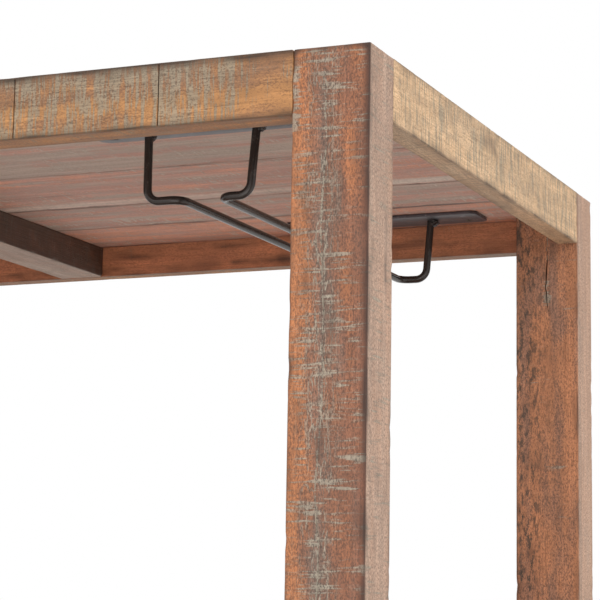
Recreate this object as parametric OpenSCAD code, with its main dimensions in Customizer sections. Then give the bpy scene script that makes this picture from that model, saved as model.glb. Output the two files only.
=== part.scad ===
// Reclaimed-wood bar cart on four swivel casters, with two stemware racks under the top.
// Z is up, X runs along the cart and Y from front (-) to rear (+).
// The origin lies on the floor under the middle of the cart.

/* [Cart] */
// Length of the cart over the posts
cart_length = 1032; // [900:1:1300]
// Depth of the cart over the posts
cart_depth = 560; // [520:1:700]
// Height from the floor to the top
cart_height = 914; // [860:1:960]
// Height of the middle shelf's top
mid_shelf_top = 520; // [480:1:560]
// Height of the bottom shelf's top
bottom_shelf_top = 172; // [165:1:200]

/* [Timber] */
// Width of a post, along the cart
post_width = 57; // [50:0.5:64]
// Depth of a post, front to rear
post_depth = 45; // [44:0.5:56]
// Eased edge of a post
post_ease = 1.5; // [0.5:0.1:2]
// Height of every rail
rail_height = 46.5; // [42:0.5:54]
// Thickness of the front rails
front_rail_thick = 24; // [20:0.5:26]
// Thickness of the rear and side rails
other_rail_thick = 18; // [16:0.5:20]
// Thickness of the boards
board_thick = 17.5; // [14:0.5:20]
// Widths of four of the five boards, from the front; the last fills what is left
board_widths = [104, 104, 128, 91];
// Width of the batten under the boards
batten_width = 46; // [40:1:60]
// Length of the batten's stub tenons
stub_length = 8; // [6:0.5:10]

/* [Stemware rack] */
// Distance from the cart's end to the middle of its rack
rack_inset = 178; // [150:1:220]
// Length of a strap
strap_length = 187; // [170:1:200]
// Width of a strap
strap_width = 40; // [30:1:44]
// Thickness of a strap
strap_thick = 3; // [2:0.5:4]
// Corner cut of a strap
strap_corner = 5; // [2:0.5:8]
// Distance from the cart's front to the middle of the front strap
front_strap_in = 110.5; // [100:0.5:125]
// Distance between the middles of the two straps
strap_spacing = 389; // [360:1:392]
// Diameter of the rack wire
wire_diameter = 6.6; // [5:0.1:8]
// Distance from the rack's middle to a leg, at the strap
leg_offset = 45; // [40:1:60]
// Distance from the rack's middle to a wire's long run
run_offset = 16; // [14:0.5:20]
// Depth of the long run's middle below the top
run_drop = 74; // [65:1:90]
// Bend radius of the wire
bend_radius = 10; // [8:0.5:12]
// Outward lean of the legs nearest the cart's end, in degrees
end_leg_lean = 5; // [0:1:8]

/* [Casters] */
// Diameter of a caster wheel
wheel_diameter = 75; // [65:1:76]
// Width of the tyre
tyre_width = 22; // [18:1:23]
// Height of a caster, from the floor to the post's foot
caster_height = 104; // [103:1:106]
// Distance from the swivel's axis to the axle
caster_trail = 25; // [20:1:30]
// Travel of a brake pedal, in degrees
pedal_travel = 22; // [10:1:22]

/* [Hidden] */
$fn = 64;

LEFT = -1;
RIGHT = 1;
FRONT = -1;
REAR = 1;
half_length = cart_length / 2;
half_depth = cart_depth / 2;
shelf_tops = [cart_height, mid_shelf_top, bottom_shelf_top];
post_length = cart_height - caster_height;
past = 1;                 // how far a cutting tool runs past a face

// Joints between rails and posts
tenon_margin = 9;         // shoulder above and below a tenon
tenon_thick = 12;
end_tenon = 28;           // tenon length of a front or rear rail
side_tenon = 22;          // tenon length of a side rail
batten_height = rail_height - board_thick;
stub_thick = 24;
stub_margin = 6;

// Boards: the inner edges, counted from the front rail's inner face
inner_front = -half_depth + front_rail_thick;
inner_rear = half_depth - other_rail_thick;
board_starts = [
    0,
    board_widths[0],
    board_widths[0] + board_widths[1],
    board_widths[0] + board_widths[1] + board_widths[2],
    board_widths[0] + board_widths[1] + board_widths[2] + board_widths[3],
    inner_rear - inner_front
];

// Rack
wire_radius = wire_diameter / 2;
strap_underside = cart_height - board_thick - strap_thick;
run_height = cart_height - run_drop;
front_strap_y = -half_depth + front_strap_in;
rear_strap_y = front_strap_y + strap_spacing;
screw_end = 15;           // from the strap's end to its screw
screw_back = 9;           // from the strap's middle to its screws, towards the rear
screw_shank = 2;          // radii and lengths of a rack screw
screw_head = 4;
screw_head_depth = 2;
screw_length = 15;
weld_radius = 6;
weld_toe = wire_radius + 0.6;
weld_drop = 4;
swage = 0.1;              // how far the ring at the end of a bend stands proud
swage_length = 1.2;

// Casters
axle_height = wheel_diameter / 2;
stem_radius = 5;
insert_radius = 8;
insert_length = 30;
stem_length = 28;
collar_flats = 20;
collar_thick = 4;
cap_radius = 20;
cap_thick = 3;
crown_bottom = 85.5;
crown_top = 89;
race_radius = 17;
running_gap = 0.5;        // between the cap and the race
bore_play = 0.05;         // radial clearance of every turning fit
pin_head_radius = 9;
pin_head_thick = 3;
head_gap = 0.4;
fork_gap = 27;
fork_plate = 2.5;
axle_radius = 4;
axle_boss = 10;
axle_head = 7;
axle_head_thick = 4;
nut_flats = 13;
nut_thick = 5;
hub_radius = 11;
hub_width = 26.2;
rim_radius = 28;
rim_inner = 24;
web_thick = 7;
spoke_holes = 5;
spoke_hole_radius = 4;
tyre_shoulder = 4;

// Brake pedal: its pivot lies on a line that leaves the axle at pivot_angle
pivot_angle = 36;
pivot_distance = wheel_diameter / 2 + 14.5;
pivot_u = caster_trail + pivot_distance * cos(pivot_angle);
pivot_z = axle_height + pivot_distance * sin(pivot_angle);
pivot_radius = 3;
pedal_hub = 7;
pedal_width = 25;
nose_radius = 3;
nose_reach = 11;
tread_length = 36;
tread_width = 34;
tread_thick = 4;

// ---- Timber -------------------------------------------------------------

// A bar from corner to corner
module bar(low, high) {
    translate(low) cube(high - low);
}

// Footprint of a post with its four edges eased
module post_outline() {
    w = post_width / 2;
    d = post_depth / 2;
    e = post_ease;
    polygon([
        [-w + e, -d], [w - e, -d], [w, -d + e], [w, d - e],
        [w - e, d], [-w + e, d], [-w, d - e], [-w, -d + e]
    ]);
}

// Tenon of a front or rear rail, on side sx of the cart
module long_tenon(sx, sy, top) {
    rail = sy == FRONT ? front_rail_thick : other_rail_thick;
    y = sy * (half_depth - rail / 2);
    x = sx * (half_length - post_width);
    tip = x + sx * end_tenon;
    bar([min(x, tip), y - tenon_thick / 2, top - rail_height + tenon_margin],
        [max(x, tip), y + tenon_thick / 2, top - tenon_margin]);
}

// Tenon of a side rail, at end sy of the cart
module side_rail_tenon(sx, sy, top) {
    x = sx * (half_length - other_rail_thick / 2);
    y = sy * (half_depth - post_depth);
    tip = y + sy * side_tenon;
    bar([x - tenon_thick / 2, min(y, tip), top - rail_height + tenon_margin],
        [x + tenon_thick / 2, max(y, tip), top - tenon_margin]);
}

// Post with a mortise pair for each tier and a bore for its caster's insert
module post(sx, sy) {
    x = sx * (half_length - post_width / 2);
    y = sy * (half_depth - post_depth / 2);
    color([0.62, 0.40, 0.27])
    difference() {
        translate([x, y, caster_height]) linear_extrude(post_length) post_outline();
        for (top = shelf_tops) {
            long_tenon(sx, sy, top);
            side_rail_tenon(sx, sy, top);
        }
        translate([x, y, caster_height - past])
            cylinder(r = insert_radius, h = insert_length + past);
    }
}

// Front or rear rail of the tier whose top is at height top
module long_rail(sy, top) {
    thick = sy == FRONT ? front_rail_thick : other_rail_thick;
    outer = sy * half_depth;
    inner = outer - sy * thick;
    end = half_length - post_width;
    color([0.70, 0.50, 0.28])
    difference() {
        union() {
            bar([-end, min(outer, inner), top - rail_height], [end, max(outer, inner), top]);
            long_tenon(LEFT, sy, top);
            long_tenon(RIGHT, sy, top);
        }
        batten_stub(sy, top);
    }
}

// Side rail of the tier whose top is at height top
module side_rail(sx, top) {
    outer = sx * half_length;
    inner = outer - sx * other_rail_thick;
    end = half_depth - post_depth;
    color([0.78, 0.64, 0.46])
    union() {
        bar([min(outer, inner), -end, top - rail_height], [max(outer, inner), end, top]);
        side_rail_tenon(sx, FRONT, top);
        side_rail_tenon(sx, REAR, top);
    }
}

// Stub tenon by which the batten sits in the front or rear rail
module batten_stub(sy, top) {
    face = sy == FRONT ? inner_front : inner_rear;
    tip = face + sy * stub_length;
    bar([-stub_thick / 2, min(face, tip), top - rail_height + stub_margin],
        [stub_thick / 2, max(face, tip), top - board_thick - stub_margin]);
}

// Batten under the boards, from the front rail to the rear rail
module batten(top) {
    color([0.42, 0.30, 0.22])
    union() {
        bar([-batten_width / 2, inner_front, top - rail_height],
            [batten_width / 2, inner_rear, top - board_thick]);
        batten_stub(FRONT, top);
        batten_stub(REAR, top);
    }
}

// Board number i (0 to 4) of a tier; the outer boards are notched round the posts
module board(i, top) {
    end = half_length - other_rail_thick;
    corner_x = half_length - post_width;
    corner_y = half_depth - post_depth;
    color([0.60, 0.45, 0.38])
    difference() {
        bar([-end, inner_front + board_starts[i], top - board_thick],
            [end, inner_front + board_starts[i + 1], top]);
        if (i == 0 || i == 4)
            for (sx = [LEFT, RIGHT]) {
                sy = i == 0 ? FRONT : REAR;
                near = [sx * corner_x, sy * corner_y];
                far = [sx * half_length, sy * half_depth];
                bar([min(near.x, far.x), min(near.y, far.y), top - board_thick - past],
                    [max(near.x, far.x), max(near.y, far.y), top + past]);
            }
    }
}

module post_front_left() post(LEFT, FRONT);
module post_front_right() post(RIGHT, FRONT);
module post_rear_left() post(LEFT, REAR);
module post_rear_right() post(RIGHT, REAR);

module top_rail_front() long_rail(FRONT, cart_height);
module top_rail_rear() long_rail(REAR, cart_height);
module top_rail_left() side_rail(LEFT, cart_height);
module top_rail_right() side_rail(RIGHT, cart_height);
module top_batten() batten(cart_height);
module top_board_1() board(0, cart_height);
module top_board_2() board(1, cart_height);
module top_board_3() board(2, cart_height);
module top_board_4() board(3, cart_height);
module top_board_5() board(4, cart_height);

module mid_rail_front() long_rail(FRONT, mid_shelf_top);
module mid_rail_rear() long_rail(REAR, mid_shelf_top);
module mid_rail_left() side_rail(LEFT, mid_shelf_top);
module mid_rail_right() side_rail(RIGHT, mid_shelf_top);
module mid_batten() batten(mid_shelf_top);
module mid_shelf_boards() for (i = [0 : 4]) board(i, mid_shelf_top);

module bottom_rail_front() long_rail(FRONT, bottom_shelf_top);
module bottom_rail_rear() long_rail(REAR, bottom_shelf_top);
module bottom_rail_left() side_rail(LEFT, bottom_shelf_top);
module bottom_rail_right() side_rail(RIGHT, bottom_shelf_top);
module bottom_batten() batten(bottom_shelf_top);
module bottom_shelf_boards() for (i = [0 : 4]) board(i, bottom_shelf_top);

// ---- Stemware racks -----------------------------------------------------

function rack_x(sx) = sx * (half_length - rack_inset);

// Steel strap under the boards, countersunk for a screw near each end
module strap(sx, y) {
    l = strap_length / 2;
    w = strap_width / 2;
    c = strap_corner;
    color([0.36, 0.35, 0.36])
    translate([rack_x(sx), y, strap_underside])
    difference() {
        linear_extrude(strap_thick)
            polygon([
                [-l + c, -w], [l - c, -w], [l, -w + c], [l, w - c],
                [l - c, w], [-l + c, w], [-l, w - c], [-l, -w + c]
            ]);
        for (s = [-1, 1])
            translate([s * (l - screw_end), screw_back, 0]) {
                translate([0, 0, -past]) cylinder(r = screw_shank, h = strap_thick + 2 * past);
                cylinder(r1 = screw_head, r2 = screw_shank, h = screw_head_depth);
            }
    }
}

// Countersunk wood screw, driven up through a strap into a board
module rack_screw() {
    cylinder(r1 = screw_head, r2 = screw_shank, h = screw_head_depth);
    cylinder(r = screw_shank, h = screw_length);
}

module rack_screws() {
    color([0.25, 0.24, 0.24])
    for (sx = [LEFT, RIGHT], y = [front_strap_y, rear_strap_y], s = [-1, 1])
        translate([rack_x(sx) + s * (strap_length / 2 - screw_end), y + screw_back,
                strap_underside])
            rack_screw();
}

function hundredth(x) = round(x * 100) / 100;

// Quarter bend (or less) of wire from +X towards +Z, starting at the origin
module bend(angle) {
    translate([0, 0, bend_radius]) rotate([90, 0, 0]) rotate([0, 0, -90])
        rotate_extrude(angle = angle) translate([bend_radius, 0]) circle(r = wire_radius);
}

// One end of a wire: it leaves the long run, turns outwards (+X), then up to the strap
module wire_end(lean) {
    sweep = 90 - lean;
    rise = strap_underside - run_height;
    leg_z = bend_radius * (1 - cos(sweep));
    elbow_x = hundredth(
        leg_offset - run_offset - (rise - leg_z) * tan(lean) - bend_radius * sin(sweep));
    leg_x = elbow_x + bend_radius * sin(sweep);
    // from the run's direction to the outward direction
    translate([bend_radius, bend_radius, 0]) rotate([0, 0, 180])
        rotate_extrude(angle = 90) translate([bend_radius, 0]) circle(r = wire_radius);
    translate([bend_radius, 0, 0]) rotate([0, 90, 0])
        cylinder(r = wire_radius, h = elbow_x - bend_radius);
    translate([elbow_x, 0, 0]) bend(sweep);
    // swaged ring over the end of the bend, then the leg, which ends inside its weld
    translate([leg_x, 0, leg_z]) rotate([0, lean, 0])
        cylinder(r = wire_radius + swage, h = swage_length, center = true);
    translate([leg_x, 0, leg_z]) rotate([0, lean, 0])
        cylinder(r = wire_radius, h = (rise - leg_z) / cos(lean) - weld_drop / 4);
    translate([leg_offset - run_offset, 0, rise - weld_drop])
        cylinder(r1 = weld_toe, r2 = weld_radius, h = weld_drop);
}

// Whole wire on side s of the rack's middle
module wire(sx, s, lean) {
    color([0.20, 0.18, 0.17])
    translate([rack_x(sx), 0, run_height])
    mirror([s < 0 ? 1 : 0, 0, 0])
    translate([run_offset, 0, 0]) {
        translate([0, front_strap_y, 0]) wire_end(lean);
        translate([0, rear_strap_y, 0]) mirror([0, 1, 0]) wire_end(lean);
        translate([0, front_strap_y + bend_radius, 0]) rotate([-90, 0, 0])
            cylinder(r = wire_radius, h = strap_spacing - 2 * bend_radius);
    }
}

module right_rack_strap_front() strap(RIGHT, front_strap_y);
module right_rack_strap_rear() strap(RIGHT, rear_strap_y);
module left_rack_strap_front() strap(LEFT, front_strap_y);
module left_rack_strap_rear() strap(LEFT, rear_strap_y);
module right_rack_outer_wire() wire(RIGHT, 1, end_leg_lean);
module right_rack_inner_wire() wire(RIGHT, -1, 0);
module left_rack_outer_wire() wire(LEFT, -1, end_leg_lean);
module left_rack_inner_wire() wire(LEFT, 1, 0);

// ---- Casters ------------------------------------------------------------
// A caster is drawn with its swivel axis at the origin and its trail along +X,
// and stands under its post with the trail towards the cart's middle.

module at_post(sx, sy) {
    translate([sx * (half_length - post_width / 2), sy * (half_depth - post_depth / 2), 0])
        rotate([0, 0, sx == RIGHT ? 180 : 0]) children();
}

// Disc or rod across the fork, centred on the wheel's middle plane
module across(u, z, r, width) {
    translate([u, width / 2, z]) rotate([90, 0, 0]) cylinder(r = r, h = width);
}

module hexagon(flats, h) {
    cylinder(d = flats / cos(30), h = h, $fn = 6);
}

// Threaded sleeve in the post's foot
module caster_inserts() {
    color([0.72, 0.62, 0.36])
    for (sx = [LEFT, RIGHT], sy = [FRONT, REAR])
        at_post(sx, sy) translate([0, 0, caster_height])
            difference() {
                cylinder(r = insert_radius, h = insert_length);
                translate([0, 0, -past]) cylinder(r = stem_radius, h = insert_length + 2 * past);
            }
}

// Threaded stem, hexagon collar, bearing cap and the headed pin that the fork turns on
module stem() {
    cap_top = caster_height - collar_thick;
    color([0.30, 0.29, 0.28])
    union() {
        translate([0, 0, cap_top]) hexagon(collar_flats, collar_thick);
        translate([0, 0, caster_height]) cylinder(r = stem_radius, h = stem_length);
        translate([0, 0, cap_top - cap_thick]) cylinder(r = cap_radius, h = cap_thick);
        translate([0, 0, crown_bottom - head_gap])
            cylinder(r = stem_radius, h = cap_top - cap_thick - crown_bottom + head_gap);
        translate([0, 0, crown_bottom - head_gap - pin_head_thick])
            cylinder(r = pin_head_radius, h = pin_head_thick);
    }
}

// Side plate of the fork, drawn in the plane of its outline; the ears carry a brake pedal
module fork_side(with_ears) {
    top = crown_top;
    difference() {
        union() {
            polygon([
                [-16, top], [-16, top - 7], [caster_trail - axle_boss, axle_height],
                [caster_trail + axle_boss, axle_height], [46, top - 20], [52, top]
            ]);
            translate([caster_trail, axle_height]) circle(r = axle_boss);
            if (with_ears) {
                polygon([
                    [40, top], [52, top], [pivot_u + 5, pivot_z + 6.5],
                    [pivot_u - 4, pivot_z - 7], [42, top - 26]
                ]);
                translate([pivot_u, pivot_z]) circle(r = 8);
            }
        }
        translate([caster_trail, axle_height]) circle(r = axle_radius);
        if (with_ears) translate([pivot_u, pivot_z]) circle(r = pivot_radius + bore_play);
    }
}

// Pressed-steel fork with its bearing race
module fork(with_ears) {
    plate_y = fork_gap / 2;
    race_top = caster_height - collar_thick - cap_thick - running_gap;
    color([0.24, 0.23, 0.22])
    difference() {
        union() {
            for (y = [-plate_y, plate_y + fork_plate])
                translate([0, y, 0]) rotate([90, 0, 0])
                    linear_extrude(fork_plate) fork_side(with_ears);
            bar([-16, -plate_y, crown_bottom], [52, plate_y, crown_top]);
            translate([0, 0, crown_bottom]) cylinder(r = race_radius, h = race_top - crown_bottom);
        }
        translate([0, 0, crown_bottom - past])
            cylinder(r = stem_radius + bore_play, h = caster_height);
    }
}

// Axle bolt with its nut
module axle() {
    half = fork_gap / 2 + fork_plate;
    color([0.62, 0.62, 0.62]) {
        translate([caster_trail, half, axle_height]) rotate([90, 0, 0])
            cylinder(r = axle_radius, h = 2 * half);
        translate([caster_trail, -half, axle_height]) rotate([90, 0, 0])
            cylinder(r = axle_head, h = axle_head_thick);
        translate([caster_trail, half + nut_thick, axle_height]) rotate([90, 0, 0])
            hexagon(nut_flats, nut_thick);
    }
}

// Cast wheel: hub, pierced web and rim
module wheel() {
    color([0.28, 0.27, 0.26])
    difference() {
        union() {
            across(caster_trail, axle_height, hub_radius, hub_width);
            across(caster_trail, axle_height, rim_radius, web_thick);
            difference() {
                across(caster_trail, axle_height, rim_radius, tyre_width);
                across(caster_trail, axle_height, rim_inner, tyre_width + 2 * past);
            }
        }
        across(caster_trail, axle_height, axle_radius + bore_play, hub_width + 2 * past);
        for (i = [0 : spoke_holes - 1]) {
            a = i * 360 / spoke_holes;
            ring = (hub_radius + rim_inner) / 2;
            across(caster_trail + ring * cos(a), axle_height + ring * sin(a),
                spoke_hole_radius, web_thick + 2 * past);
        }
    }
}

// Rubber tyre, rounded over its shoulders
module tyre() {
    w = tyre_width / 2;
    r = wheel_diameter / 2;
    s = tyre_shoulder;
    color([0.10, 0.10, 0.10])
    translate([caster_trail, 0, axle_height]) rotate([90, 0, 0])
        rotate_extrude()
            union() {
                translate([rim_radius, -w]) square([r - s - rim_radius, 2 * w]);
                translate([rim_radius, -w + s]) square([r - rim_radius, 2 * (w - s)]);
                for (y = [-1, 1]) translate([r - s, y * (w - s)]) circle(r = s);
            }
}

// Foot brake: a cross pin, a hub with a nose for the tyre, and a tread to step on
module brake_pedal() {
    nose_angle = 180 + pivot_angle + pedal_travel;
    pin_width = fork_gap + 2 * fork_plate;
    color([0.55, 0.12, 0.10]) {
        across(pivot_u, pivot_z, pivot_radius, pin_width);
        across(pivot_u, pivot_z, pedal_hub, pedal_width);
        translate([pivot_u, pedal_width / 2, pivot_z]) rotate([90, 0, 0])
            linear_extrude(pedal_width)
                union() {
                    rotate(nose_angle) translate([0, -nose_radius])
                        square([nose_reach, 2 * nose_radius]);
                    rotate(nose_angle) translate([nose_reach, 0]) circle(r = nose_radius);
                    polygon([[0, 1], [0, 7], [14, 8], [14, 4]]);
                }
        bar([pivot_u + 12, -tread_width / 2, pivot_z + 4],
            [pivot_u + tread_length, tread_width / 2, pivot_z + 4 + tread_thick]);
    }
}

module stem_front_left() at_post(LEFT, FRONT) stem();
module stem_front_right() at_post(RIGHT, FRONT) stem();
module stem_rear_left() at_post(LEFT, REAR) stem();
module stem_rear_right() at_post(RIGHT, REAR) stem();
module fork_front_left() at_post(LEFT, FRONT) fork(true);
module fork_front_right() at_post(RIGHT, FRONT) fork(true);
module fork_rear_left() at_post(LEFT, REAR) fork(false);
module fork_rear_right() at_post(RIGHT, REAR) fork(false);
module axle_front_left() at_post(LEFT, FRONT) axle();
module axle_front_right() at_post(RIGHT, FRONT) axle();
module axle_rear_left() at_post(LEFT, REAR) axle();
module axle_rear_right() at_post(RIGHT, REAR) axle();
module wheel_front_left() at_post(LEFT, FRONT) wheel();
module wheel_front_right() at_post(RIGHT, FRONT) wheel();
module wheel_rear_left() at_post(LEFT, REAR) wheel();
module wheel_rear_right() at_post(RIGHT, REAR) wheel();
module tyre_front_left() at_post(LEFT, FRONT) tyre();
module tyre_front_right() at_post(RIGHT, FRONT) tyre();
module tyre_rear_left() at_post(LEFT, REAR) tyre();
module tyre_rear_right() at_post(RIGHT, REAR) tyre();
module brake_pedal_front_left() at_post(LEFT, FRONT) brake_pedal();
module brake_pedal_front_right() at_post(RIGHT, FRONT) brake_pedal();

post_front_left();
post_front_right();
post_rear_left();
post_rear_right();
top_rail_front();
top_rail_rear();
top_rail_left();
top_rail_right();
top_batten();
top_board_1();
top_board_2();
top_board_3();
top_board_4();
top_board_5();
mid_rail_front();
mid_rail_rear();
mid_rail_left();
mid_rail_right();
mid_batten();
mid_shelf_boards();
bottom_rail_front();
bottom_rail_rear();
bottom_rail_left();
bottom_rail_right();
bottom_batten();
bottom_shelf_boards();
right_rack_strap_front();
right_rack_strap_rear();
left_rack_strap_front();
left_rack_strap_rear();
right_rack_outer_wire();
right_rack_inner_wire();
left_rack_outer_wire();
left_rack_inner_wire();
rack_screws();
caster_inserts();
stem_front_left();
stem_front_right();
stem_rear_left();
stem_rear_right();
fork_front_left();
fork_front_right();
fork_rear_left();
fork_rear_right();
axle_front_left();
axle_front_right();
axle_rear_left();
axle_rear_right();
wheel_front_left();
wheel_front_right();
wheel_rear_left();
wheel_rear_right();
tyre_front_left();
tyre_front_right();
tyre_rear_left();
tyre_rear_right();
brake_pedal_front_left();
brake_pedal_front_right();
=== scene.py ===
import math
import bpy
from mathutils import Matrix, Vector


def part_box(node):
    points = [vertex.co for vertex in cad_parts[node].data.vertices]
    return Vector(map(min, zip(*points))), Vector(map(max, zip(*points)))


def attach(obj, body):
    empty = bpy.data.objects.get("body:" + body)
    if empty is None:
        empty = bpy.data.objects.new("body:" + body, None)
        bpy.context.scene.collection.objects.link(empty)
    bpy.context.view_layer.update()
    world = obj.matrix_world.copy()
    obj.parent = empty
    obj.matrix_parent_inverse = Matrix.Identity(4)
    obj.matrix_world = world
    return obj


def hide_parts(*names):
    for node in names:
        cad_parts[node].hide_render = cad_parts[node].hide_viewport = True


bl_info = {
    "name": "Reclaimed Bar Cart",
    "version": (1, 0, 0),
    "blender": (4, 5, 0),
    "location": "3D View > Sidebar > Bar Cart",
    "description": "Dresses a packed bar cart in worn timber, blackened steel and rubber",
    "category": "Object",
}

import bmesh
import bpy
import numpy as np
from bpy.props import FloatProperty, FloatVectorProperty, PointerProperty
from mathutils import Matrix, Vector

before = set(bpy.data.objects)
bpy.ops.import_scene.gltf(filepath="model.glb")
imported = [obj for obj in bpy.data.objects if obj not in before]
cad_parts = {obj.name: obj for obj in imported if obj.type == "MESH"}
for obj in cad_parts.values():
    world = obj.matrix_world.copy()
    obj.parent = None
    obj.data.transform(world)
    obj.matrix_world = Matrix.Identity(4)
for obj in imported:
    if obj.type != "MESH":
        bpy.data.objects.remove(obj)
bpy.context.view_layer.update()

MM = 0.001
TIERS = ("top", "mid", "bottom")
CORNERS = ("front_left", "front_right", "rear_left", "rear_right")
CART = "cart"


def tint(red, green, blue):
    """A colour named as it looks, from 0 to 255, as the linear values that shaders take."""
    def linear(value):
        value /= 255
        return value / 12.92 if value < 0.04045 else ((value + 0.055) / 1.055) ** 2.4
    return (linear(red), linear(green), linear(blue))


# ---- Node trees and shader maths --------------------------------------------


class Wiring:
    """A node tree whose nodes are added by one call each."""

    def add(self, kind, settings, sockets):
        """Adds a node: first its settings, then the values or links of its sockets."""
        made = self.tree.nodes.new(kind)
        for key, value in (settings or {}).items():
            setattr(made, key, value)
        for key, value in (sockets or {}).items():
            self.plug(value, made.inputs[key])
        return made

    def plug(self, value, socket):
        if isinstance(value, Signal):
            value = value.socket
        if isinstance(value, bpy.types.NodeSocket):
            self.tree.links.new(value, socket)
        elif socket.type == "RGBA":
            socket.default_value = (*value, 1.0)
        else:
            socket.default_value = value


class Signal:
    """A socket of a shader tree that takes part in Python sums."""

    def __init__(self, finish, socket):
        self.finish = finish
        self.socket = socket

    def __add__(self, other):
        return self.finish.math("ADD", self, other)

    def __sub__(self, other):
        return self.finish.math("SUBTRACT", self, other)

    def __rsub__(self, other):
        return self.finish.math("SUBTRACT", other, self)

    def __mul__(self, other):
        return self.finish.math("MULTIPLY", self, other)

    __radd__ = __add__
    __rmul__ = __mul__

    def step(self, low, high):
        """Nought below low, one above high and smooth between."""
        ends = {"Value": self, "From Min": low, "From Max": high}
        return self.finish.node("ShaderNodeMapRange", {"interpolation_type": "SMOOTHSTEP"}, ends)

    def wave(self, turns):
        """The signal run through a sine of that many turns, from 0 to 1."""
        return self.finish.math("SINE", self * (turns * math.tau)) * 0.5 + 0.5


class Finish(Wiring):
    """A material that is written down as sums of signals."""

    def __init__(self, name):
        self.material = bpy.data.materials.new(name)
        self.material.use_nodes = True
        self.tree = self.material.node_tree
        self.shader = self.tree.nodes["Principled BSDF"]

    def node(self, kind, settings=None, sockets=None, output=0):
        return Signal(self, self.add(kind, settings, sockets).outputs[output])

    def math(self, operation, first, second=0.0):
        return self.node("ShaderNodeMath", {"operation": operation}, {0: first, 1: second})

    def mix(self, factor, first, second):
        """Colours first and second, blended by factor."""
        sockets = {0: factor, 6: first, 7: second}
        return self.node("ShaderNodeMix", {"data_type": "RGBA"}, sockets, output=2)

    def shade(self, colour, amount):
        """A colour made lighter or darker by a signal."""
        sockets = {0: colour, "Scale": amount}
        return self.node("ShaderNodeVectorMath", {"operation": "SCALE"}, sockets)

    def attribute(self, name, output="Fac"):
        return self.node("ShaderNodeAttribute", {"attribute_name": name}, output=output)

    def parts(self, vector):
        """The three components of a vector."""
        first = self.node("ShaderNodeSeparateXYZ", sockets={0: vector})
        return [Signal(self, out) for out in first.socket.node.outputs]

    def place(self):
        return self.node("ShaderNodeTexCoord", output="Object")

    def noise(self, place, size, detail=2.0, seed=0.0, roughness=0.5):
        """Cloudy noise whose blobs are about size, in metres along each axis."""
        size = size if isinstance(size, tuple) else (size,) * 3
        move = {0: place, 1: tuple(1 / s for s in size), 2: (seed, seed * 1.7, seed * 2.3)}
        scaled = self.node("ShaderNodeVectorMath", {"operation": "MULTIPLY_ADD"}, move)
        sockets = {"Vector": scaled, "Scale": 1.0, "Detail": detail, "Roughness": roughness}
        return self.node("ShaderNodeTexNoise", sockets=sockets)

    def close(self, colour, roughness, metallic=0.0, height=None, relief=0.0):
        """Feeds the shader; height is a signal and relief its depth in metres."""
        self.plug(colour, self.shader.inputs["Base Color"])
        self.plug(roughness, self.shader.inputs["Roughness"])
        self.plug(metallic, self.shader.inputs["Metallic"])
        if height is not None:
            bump = self.node("ShaderNodeBump", sockets={"Distance": relief, "Height": height})
            self.plug(bump, self.shader.inputs["Normal"])
        return self.material


# ---- Finishes ---------------------------------------------------------------

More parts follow.
